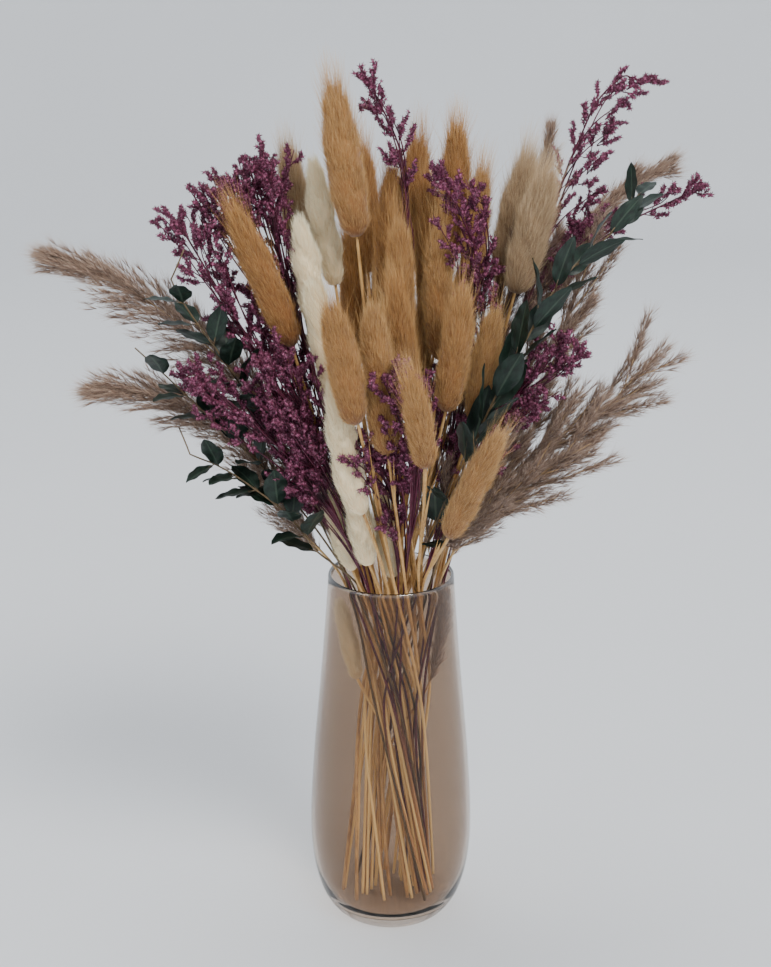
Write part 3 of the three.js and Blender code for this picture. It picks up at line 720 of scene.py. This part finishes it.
plumeLook = {"twigSpacing": 1.0, "seedSpacing": 1.5, "seedLength": 6.2, "seedWidth": 0.46,
             "hairLength": 11, "silks": 3}
plumeWidth = {1: 30, 2: 23, 3: 7, 4: 7, 5: 8, 6: 7, 7: 10, 8: 7, 9: 7}
fanPlumes = {3, 4, 7, 8}
fanShoots = {"spacing": 8.5, "size": 58, "openness": 0.4}
plumeDensity = {"fan": 0.52, "long": 1.8, "short": 1.25}
lowestGrowth = 250


def reedPlume(name, number):
    branches = branchLines(name, widest=36)
    stem, fluff = Shape(), Shape()
    main = branches[0]["line"]
    shoots = [b["line"] for b in branches[1:] if standsClear(b["line"], main, branches[0]["radius"])]
    line, radii = smoothLine(main, np.minimum(branches[0]["radius"], 1.2), 6)
    fade = np.clip(1.25 - lengthsOf(line) / lengthsOf(line)[-1], 0.3, 1)
    tube(stem, line, radii * fade, 7, (0, 0.5))
    distance = lengthsOf(main)
    total = distance[-1]
    thick = distance[branches[0]["radius"] > 1.8]
    swelling = thick[0] if len(thick) else total - 60
    first = min([lengthAt(main, shoot[0]) for shoot in shoots] + [swelling]) - 18
    if number != 9:
        first = max(first, float(np.interp(lowestGrowth, main[:, 2], distance)))
    part = np.clip((distance - first) / (total - first), 0, 1)
    widths = lerp(2.6, plumeWidth[number], np.sin(np.pi * np.minimum(1, part * 1.04 + 0.04)) ** 0.7)
    density = plumeDensity["fan" if number in fanPlumes else "short" if number > 2 else "long"]
    plumeTwigs(fluff, main, widths, first, total, density)
    if number in fanPlumes:
        shoots += sideSpikes(main, first, total - 12, **fanShoots)
    for shoot in shoots:
        side, _ = smoothLine(shoot, np.zeros(len(shoot)), 6)
        tube(stem, side, np.linspace(0.4, 0.2, len(side)), 4, (0.5, 1))
        plumeTwigs(fluff, shoot, np.full(len(shoot), 4.2), 3, lengthsOf(shoot)[-1], density)
    stem.build(name + "_stem", paints["reedStem"], name, "reed")
    # the seventh plume takes the darker hair, painted shade for the shadowed depth among the heads
    shade = paints["reedPaintedShade" if number == 7 else "reed"][0]
    fluff.build(name + "_plume", shade, name, "reed")


def standsClear(shoot, main, radii):
    reach = lengthsOf(main)
    spots = np.arange(0, reach[-1], 2.0)
    gaps = np.linalg.norm(along(main, reach, spots) - shoot[-1], axis=1)
    nearest = int(np.argmin(gaps))
    room = np.interp(spots[nearest], reach, radii)
    return gaps[nearest] > 0.9 * room + 2.5 and lengthsOf(shoot)[-1] > 12


def lengthAt(line, point):
    return float(lengthsOf(line)[np.argmin(np.linalg.norm(line - point, axis=1))])


def plumeTwigs(shape, rawLine, rawRadii, start, end, density):
    # slanting twigs along a line, each set with seed husks and long silky hairs
    look = plumeLook
    line, radii = smoothLine(rawLine, rawRadii, 4)
    distance = lengthsOf(line)
    direction, across, other = framesOf(line)
    span = max(4.0, end - start)
    count = max(4, int(span / look["twigSpacing"] * density))
    spots = start + span * (np.arange(count) + dice.random(count)) / count
    spots = np.minimum(spots, distance[-1] - 1)
    turn = np.arange(count) * 2.4 + dice.normal(size=count) * 0.4
    forward = unit(along(direction, distance, spots))
    radial = aroundLine(across, other, distance, spots, turn)
    room = np.interp(spots, distance, radii)
    rest = np.maximum(0, distance[-1] - spots)
    twigLength = np.clip(room * 3.2 + 5, 6, 36) * (0.75 + 0.4 * dice.random(count))
    twigLength = np.minimum(twigLength, rest * 0.9 + 8)
    lean = np.arctan2(room * (0.5 + 0.6 * dice.random(count)), twigLength)
    aims = unit(forward * np.cos(lean)[:, None] + radial * np.sin(lean)[:, None])
    starts = along(line, distance, spots)
    bends = -radial * 0.05 - up * (0.03 + 0.006 * room)[:, None]
    strands(shape, starts, aims, twigLength, np.full(count, 0.28), bends, 4)
    seeds = np.repeat(np.arange(count), np.maximum(3, (twigLength / look["seedSpacing"]).astype(int)))
    t = dice.random(len(seeds)) * 0.95 + 0.05
    size = twigLength[seeds][:, None]
    spot = starts[seeds] + aims[seeds] * size * t[:, None] + bends[seeds] * size * (t ** 2)[:, None]
    outward = anyAcross(aims[seeds])
    slant = np.radians(8 + 12 * dice.random(len(seeds)))[:, None]
    husk = unit(aims[seeds] * np.cos(slant) + outward * np.sin(slant))
    strands(shape, spot, husk, look["seedLength"] * (0.7 + 0.5 * dice.random(len(seeds))),
            look["seedWidth"] * (0.6 + 0.6 * dice.random(len(seeds))), outward * 0.05, 3, 0.9)
    hairs = np.repeat(np.arange(len(seeds)), look["silks"])
    silk = unit(husk[hairs] + dice.normal(size=(len(hairs), 3)) * 0.13)
    strands(shape, spot[hairs], silk, look["hairLength"] * (0.6 + 0.7 * dice.random(len(hairs))),
            np.full(len(hairs), 0.13), anyAcross(silk) * 0.1, 3)


sparseSprigs = {1, 10, 11}
bushySprigs = {2, 3}
staticeLook = {"spikeSpacing": 4.6, "spikeLength": 18, "twigSpacing": 1.15, "twigLength": 3.6,
               "floretSpacing": 0.62, "floret": 1.75, "bare": 0.28}
shootPlan = {"low": (9, 245, 310), "middle": (6, 330, 420), "high": (9, 385, 450)}


def staticeSprig(name, number):
    look = staticeLook
    branches = branchLines(name, widest=7)
    stem, flowers = Shape(), Shape()
    main = branches[0]["line"]
    line, _ = smoothLine(main, np.zeros(len(main)), 6)
    tube(stem, line, np.linspace(0.95, 0.45, len(line)), 7, (0, 0.5))
    total = lengthsOf(main)[-1]
    shootStarts = [lengthAt(main, b["line"][0]) for b in branches[1:]]
    firstShoot = min(shootStarts + [total - 50])
    spikes = [along(main, lengthsOf(main), np.linspace(total - 22, total, 5))]
    spikes += sideSpikes(main, firstShoot + 6, total - 5, look["spikeSpacing"] * 1.3,
                         look["spikeLength"])
    for branch, start in zip(branches[1:], shootStarts):
        side = lowerJoined(main, branch["line"], start)
        tube(stem, side, np.linspace(0.7, 0.3, len(side)), 5, (0.5, 1))
        shoot = branch["line"]
        length = lengthsOf(shoot)[-1]
        spikes.append(along(shoot, lengthsOf(shoot), np.linspace(length * 0.6, length, 4)))
        spikes += sideSpikes(shoot, length * look["bare"], length * 0.92, look["spikeSpacing"],
                             look["spikeLength"] * 0.75)
    extra = []
    if number not in sparseSprigs:
        extra = lowShoots(main, *shootPlan["low"]) + lowShoots(main, *shootPlan["middle"])
    extra += lowShoots(main, *shootPlan["high"]) if number in bushySprigs else []
    for side in extra:
        tube(stem, side, np.linspace(0.6, 0.26, len(side)), 5, (0.5, 1))
        length = lengthsOf(side)[-1]
        spikes += sideSpikes(side, length * 0.64, length * 0.98, look["spikeSpacing"],
                             look["spikeLength"] * 0.55)
    for spike in spikes:
        tube(stem, spike, np.linspace(0.34, 0.2, len(spike)), 4, (0.5, 1))
        floretSpike(stem, flowers, spike)
    stem.build(name + "_twigs", paints["twig" if number % 2 else "palerTwig"], name, "statice")
    flowers.build(name + "_florets", paints["floret"], name, "statice")


def lowShoots(main, count, low, high):
    # thin shoots that leave the main stem between two heights and rise beside it
    reach = lengthsOf(main)
    lowest, highest = np.interp([low, high], main[:, 2], reach)
    highest = min(highest, reach[-1] - 40)
    shoots = []
    for start in lowest + (highest - lowest) * dice.random(count):
        end = min(reach[-1] - 8, start + 80 + 50 * dice.random())
        spots = np.linspace(start, end, 5)
        aside = anyAcross((main[-1] - main[0])[None])[0] * (9 + 11 * dice.random())
        points = along(main, reach, spots) + np.array([0, 0.2, 0.45, 0.72, 1.0])[:, None] * aside
        shoots.append(smoothLine(points, np.zeros(5), 5)[0])
    return shoots


def lowerJoined(main, shoot, start):
    # a side shoot that leaves the main stem well below its own flowers and rises beside it
    reach = lengthsOf(main)
    lowest = float(np.interp(lowestGrowth, main[:, 2], reach))
    low = max(lowest, start - 60 - 60 * dice.random())
    if start - low < 12:
        return smoothLine(shoot, np.zeros(len(shoot)), 3)[0]
    spots = np.linspace(low, start, 5)
    rising = along(main, reach, spots)
    away = unit(shoot[-1] - shoot[0]) + 0.6 * dice.normal(size=3)
    offset = np.array([0, 2.2, 3.6, 4.0])[:, None] * unit(away)
    points = np.vstack([rising[:4] + offset, lerp(shoot[0], shoot[-1], 0.25)[None], shoot[-1:]])
    return smoothLine(points, np.zeros(len(points)), 4)[0]


def sideSpikes(line, start, end, spacing, size, openness=0.62):
    # short curved shoots that alternate along a line and turn up at their tips
    count = max(2, int((end - start) / spacing))
    spots = start + (end - start) * (np.arange(count) + 0.6 * dice.random(count)) / count
    dense = smoothLine(line, np.zeros(len(line)), 3)[0]
    direction, across, other = framesOf(dense)
    reach = lengthsOf(dense)
    forward = unit(along(direction, reach, spots))
    turn = np.arange(count) * 2.4 + dice.random() * 6
    radial = aroundLine(across, other, reach, spots, turn)
    roots = along(dense, reach, spots)
    shorter = 1 - 0.45 * (spots - start) / max(1.0, end - start)
    lengths = size * (0.6 + 0.6 * dice.random(count)) * shorter
    spikes = []
    for root, ahead, out, length in zip(roots, forward, radial, lengths):
        aim = unit(ahead * 0.8 + out * openness)
        t = np.linspace(0, 1, 5)[:, None]
        spikes.append(root + aim * length * t + (up * 0.5 + ahead * 0.5) * length * 0.22 * t * t)
    return spikes


def floretSpike(stem, flowers, line):
    # short twigs turned to one side of the spike, each with a row of tiny papery flowers
    look = staticeLook
    distance = lengthsOf(line)
    direction, across, other = framesOf(line)
    span = distance[-1] * 0.8
    count = max(5, int(span / look["twigSpacing"]))
    spots = distance[-1] * 0.2 + span * (np.arange(count) + 0.5 * dice.random(count)) / count
    spots = np.minimum(spots, distance[-1])
    turn = dice.random() * 2 * np.pi + 1.1 * dice.normal(size=count)
    forward = unit(along(direction, distance, spots))
    radial = aroundLine(across, other, distance, spots, turn)
    part = (spots - spots[0]) / span
    lengths = look["twigLength"] * (1 - 0.5 * part) * (0.6 + 0.7 * dice.random(count))
    aims = unit(forward * 0.7 + radial * 0.8 + up * 0.15)
    starts = along(line, distance, spots)
    bends = forward * 0.25
    strands(stem, starts, aims, lengths, np.full(count, 0.4), bends, 3)
    owner = np.repeat(np.arange(count), np.maximum(3, (lengths / look["floretSpacing"]).astype(int)))
    t = 0.1 + 0.95 * dice.random(len(owner))
    size = lengths[owner][:, None]
    places = starts[owner] + aims[owner] * size * t[:, None] + bends[owner] * size * (t ** 2)[:, None]
    facing = unit(aims[owner] * 0.7 + anyAcross(aims[owner]) * 0.8 + up * 0.3)
    florets(flowers, places, facing, look["floret"] * (0.7 + 0.6 * dice.random(len(owner))))


def florets(shape, places, facing, sizes):
    # five pointed petals around a short tube
    count = len(places)
    across = anyAcross(facing)
    other = np.cross(facing, across)
    rows = []
    maps = []
    petals = 5
    levels = ((0.16, -0.9, 0.45), (0.32, 0.0, 0.05), (1.0, 0.55, 0.98))
    for level, (reach, lift, value) in enumerate(levels):
        for k in range(petals):
            angle = 2 * np.pi * (k + (0.5 if level == 2 else 0)) / petals
            ring = np.cos(angle) * across + np.sin(angle) * other
            rows.append(places + (ring * reach + facing * lift) * sizes[:, None])
            maps.append(value)
    points = np.stack(rows, axis=1)
    triangles = []
    for k in range(petals):
        n = (k + 1) % petals
        triangles += [(k, n, 5 + n), (k, 5 + n, 5 + k), (5 + k, 5 + n, 10 + k)]
    triangles = np.array(triangles)
    faces = (np.arange(count) * 15)[:, None, None] + triangles[None]
    u = 0.02 + 0.95 * dice.random(count)
    place = np.empty((count, len(triangles), 3, 2))
    values = np.array(maps)
    place[..., 0] = u[:, None, None] + np.array([0, 0.006, 0.003])
    place[..., 1] = 0.01 + 0.97 * values[triangles][None]
    shape.add(points, [faces.reshape(-1, 3)], [place])


leafLook = {"fold": 0.16, "curl": 0.12, "thickness": 0.3, "grid": 4, "grow": 1.22}
leafChain = {"pairs": 11, "length": 33, "width": 12.5, "lean": 23, "from": 326}


def leafSprig(name, number):
    main = branchLines(name, widest=4)[0]
    stem, leaves = Shape(), Shape()
    line, _ = smoothLine(main["line"], main["radius"], 6)
    tube(stem, line, np.linspace(0.95, 0.45, len(line)), 7)
    patches = chainPatches(main["line"]) if number == 4 else leafPatches(name, main["line"])
    for k, (base, tip, side, half) in enumerate(patches):
        leafBlade(stem, leaves, base, tip, side, half, k)
    stem.build(name + "_stem", paints["leafStem"], name, "leaf")
    leaves.build(name + "_leaves", paints["leaf"], name, "leaf")


def chainPatches(line):
    # the leaves of the long sprig: close overlapping pairs that point up along its stem
    plan = leafChain
    reach = lengthsOf(line)
    first = float(np.interp(plan["from"], line[:, 2], reach))
    patches = []
    for k in range(plan["pairs"] * 2 + 1):
        part = k / (plan["pairs"] * 2)
        spot = lerp(first, reach[-1] - 1, part)
        base, ahead = along(line, reach, np.array([spot, spot + 1]))
        ahead = unit(ahead - base) if spot < reach[-1] - 1 else unit(line[-1] - line[-2])
        around = np.radians(k * 37 + (180 if k % 2 else 0))
        across = unit(np.cross(ahead, up))
        out = across * math.cos(around) + np.cross(ahead, across) * math.sin(around)
        lean = np.radians(plan["lean"] * (1 + 0.15 * dice.normal()))
        aim = ahead * math.cos(lean) + out * math.sin(lean)
        size = plan["length"] * lerp(1, 0.68, part)
        half = plan["width"] / 2 * lerp(1, 0.6, part)
        patches.append((base, base + aim * size, unit(np.cross(aim, out)), half))
    return patches


def leafBlade(stem, shape, start, end, side, half, number):
    # a pointed oval blade, folded a little along its middle and closed underneath
    look = leafLook
    forward = unit(end - start)
    length = float(np.linalg.norm(end - start)) * look["grow"]
    width = 2.1 * half * look["grow"]
    side = unit(side - forward * np.dot(side, forward))
    face = np.cross(side, forward)
    face = face if face[2] > 0 else -face
    side = np.cross(forward, face)
    across, steps = 8, 14
    s = np.linspace(-1, 1, across + 1)[None, :, None]
    t = np.linspace(0.0, 1, steps + 1)[:, None, None]
    profile = np.sin(np.pi * t ** 0.85) ** 0.75 + 0.02
    bend = look["curl"] * (1 + 0.5 * dice.normal()) * length
    fold = look["fold"] * (1 + 0.3 * dice.normal())
    height = fold * np.abs(s) * profile * width / 2 - bend * (t - 0.3) ** 2
    ripple = 0.035 * width * np.sin(t * 17 + s * 2 + number) * np.abs(s)
    grid = start + forward * length * (0.08 + 0.92 * t) + face * (height + ripple)
    grid = grid + side * s * profile * width / 2
    grid = grid.reshape(steps + 1, across + 1, 3)
    under = grid - face * look["thickness"]
    under[:, 0], under[:, -1] = grid[:, 0], grid[:, -1]
    rows = across + 1
    i = np.arange(steps)[:, None] * rows
    j = np.arange(across)[None]
    quads = np.stack([i + j, i + j + 1, i + j + rows + 1, i + j + rows], axis=2).reshape(-1, 4)
    cell = number % (look["grid"] ** 2)
    corner = np.array([cell % look["grid"], cell // look["grid"]]) / look["grid"]
    low, high = 0.06, 0.94
    spread = np.meshgrid(np.linspace(low, high, rows), np.linspace(low, high, steps + 1))
    spread = np.stack(spread, axis=2)
    places = corner + spread.reshape(-1, 2) / look["grid"]
    count = rows * (steps + 1)
    points = np.concatenate([grid.reshape(-1, 3), under.reshape(-1, 3)])
    shape.add(points, [quads, quads[:, ::-1] + count], [places[quads], places[quads[:, ::-1]]])
    stalk = np.stack([start, start + forward * length * 0.1, start + forward * length * 0.2])
    tube(stem, stalk, np.array([0.45, 0.4, 0.3]), 5)


vaseLook = {
    # radius and height in millimetres, from the foot up the outside and from the lip down the inside
    "outside": [(0, 0.5), (20, 0.6), (33, 0.2), (36.2, 0), (37.6, 0.9), (42, 6), (46.6, 15),
                (50.6, 30), (52.7, 48), (53, 66), (51.9, 90), (49.7, 120), (46.9, 150), (44.1, 180),
                (41.7, 210), (40.2, 230), (40, 234.2), (39.6, 235.5), (38.8, 236), (38, 235.5)],
    "inside": [(37.6, 234.4), (37.7, 229), (39.3, 210), (41.7, 180), (44.5, 150), (47.3, 120),
               (49.5, 90), (50.6, 66), (50.3, 48), (48, 30), (43.4, 16), (38, 10), (32, 7.6), (20, 7),
               (0, 7)],
    "sides": 144,
}


def glassVase():
    sides = vaseLook["sides"]
    walls = [[(r, 0, z) for r, z in vaseLook[key]] for key in ("outside", "inside")]
    profile = np.vstack([smoothLine(line, np.zeros(len(line)), 3)[0] for line in walls])
    profile[:, 0] = np.maximum(profile[:, 0], 0)
    angle = np.arange(sides) / sides * 2 * np.pi
    body = profile[1:-1]
    rings = np.stack([body[:, 0:1] * np.cos(angle), body[:, 0:1] * np.sin(angle),
                      np.repeat(body[:, 2:3], sides, axis=1)], axis=2)
    n = len(body)
    ends = np.array([[0, 0, profile[0, 2]], [0, 0, profile[-1, 2]]])
    points = np.concatenate([rings.reshape(-1, 3), ends])
    u, v = np.arange(sides + 1) / sides, np.arange(n) / n
    shape = Shape()
    flatMap = np.full((sides * 3, 2), 0.99)
    shape.add(points, ringFaces(n, sides), [ringMaps(u, v), flatMap, flatMap])
    shape.build("glass_vase_clear", paints["glass"], "glass_vase", "vase_glass")


view = {"place": (-0.0035, -0.948, 0.599), "down": 17.8, "lens": 59.57}
studio = {"flat": 2.6, "curve": 1.8, "wall": 5.5, "sides": 72, "sky": 0.5,
          "floor": (tone(213, 216, 220), tone(216, 219, 223))}
lamps = {
    # place, the spot aimed at, size, power and colour
    "keyLamp": ((1.7, -2.6, 4.0), (0, 0, 0.3), 2.0, 196.0, (1, 0.98, 0.95)),
    "fillLamp": ((-2.8, -2.0, 1.6), (0, 0, 0.3), 1.8, 18.0, (1, 1, 1)),
    "topLamp": ((-0.6, 0.6, 4.2), (0, 0.3, 0.2), 2.2, 86.0, (1, 1, 1)),
    "backLamp": ((1.4, 0.9, 2.4), (1.6, 4.0, 0.8), 1.6, 12.0, (1, 1, 1)),
}


def setCamera():
    camera = bpy.data.objects.new("viewCamera", bpy.data.cameras.new("viewCamera"))
    bpy.context.scene.collection.objects.link(camera)
    camera.location = view["place"]
    camera.rotation_euler = (math.radians(90 - view["down"]), 0, 0)
    camera.data.lens = view["lens"]
    camera.data.clip_end = 200
    bpy.context.scene.camera = camera


def softLamp(name, place, aim, size, power, colour):
    lamp = bpy.data.objects.new(name, bpy.data.lights.new(name, "AREA"))
    bpy.context.scene.collection.objects.link(lamp)
    lamp.location = place
    lamp.rotation_euler = (Vector(aim) - Vector(place)).to_track_quat("-Z", "Y").to_euler()
    lamp.data.shape = "DISK"
    lamp.data.size = size
    lamp.data.energy = power
    lamp.data.color = colour


def setStudio():
    # a pale round floor that sweeps up into a wall all round, and large soft lamps
    paint = Paint("paleSweep")
    patch = paint.noise(paint.spot(), 1.4, 2.0)
    colour = paint.ramp(patch, list(zip((0.3, 0.7), studio["floor"])))
    floorMaterial = paint.finish(principled(paint, colour, 0.6, Specular_IOR_Level=0.2))
    turn = np.radians(np.linspace(0, 90, 16))
    flat, curve, sides = studio["flat"], studio["curve"], studio["sides"]
    profile = [(1.2, 0.0)] + [(flat + curve * math.sin(a), curve - curve * math.cos(a)) for a in turn]
    profile.append((flat + curve, studio["wall"]))
    around = np.arange(sides) / sides * 2 * np.pi
    points = [(r * math.cos(a), r * math.sin(a), z) for r, z in profile for a in around] + [(0, 0, 0)]
    quads, middle, _ = ringFaces(len(profile), sides)
    mesh = bpy.data.meshes.new("sweep")
    mesh.from_pydata(points, [], quads.tolist() + middle.tolist())
    mesh.polygons.foreach_set("use_smooth", [True] * len(mesh.polygons))
    floor = bpy.data.objects.new("sweep", mesh)
    bpy.context.scene.collection.objects.link(floor)
    mesh.materials.append(floorMaterial)
    floor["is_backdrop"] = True
    world = bpy.data.worlds.new("studio")
    bpy.context.scene.world = world
    world.use_nodes = True
    back = world.node_tree.nodes["Background"]
    back.inputs[0].default_value = tone(236, 240, 244)
    back.inputs[1].default_value = studio["sky"]
    for name, look in lamps.items():
        softLamp(name, *look)


setCamera()
setStudio()
glassVase()
print("vase made")

for nodeName in sorted(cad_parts):
    number = int(nodeName.rsplit("_", 1)[1]) if nodeName[-2:].isdigit() else 0
    if nodeName.startswith("bunny_tail"):
        bunnyTail(nodeName, nodeName.split("_")[2], number)
    elif nodeName.startswith("reed_plume"):
        reedPlume(nodeName, number)
    elif nodeName.startswith("statice_sprig"):
        staticeSprig(nodeName, number)
    elif nodeName.startswith("leaf_sprig"):
        leafSprig(nodeName, number)
print("stalks made")

boxes = {"cad": cadBox, "visual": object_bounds()}
boxes = {key: [[float(c) for c in corner] for corner in box] for key, box in boxes.items()}
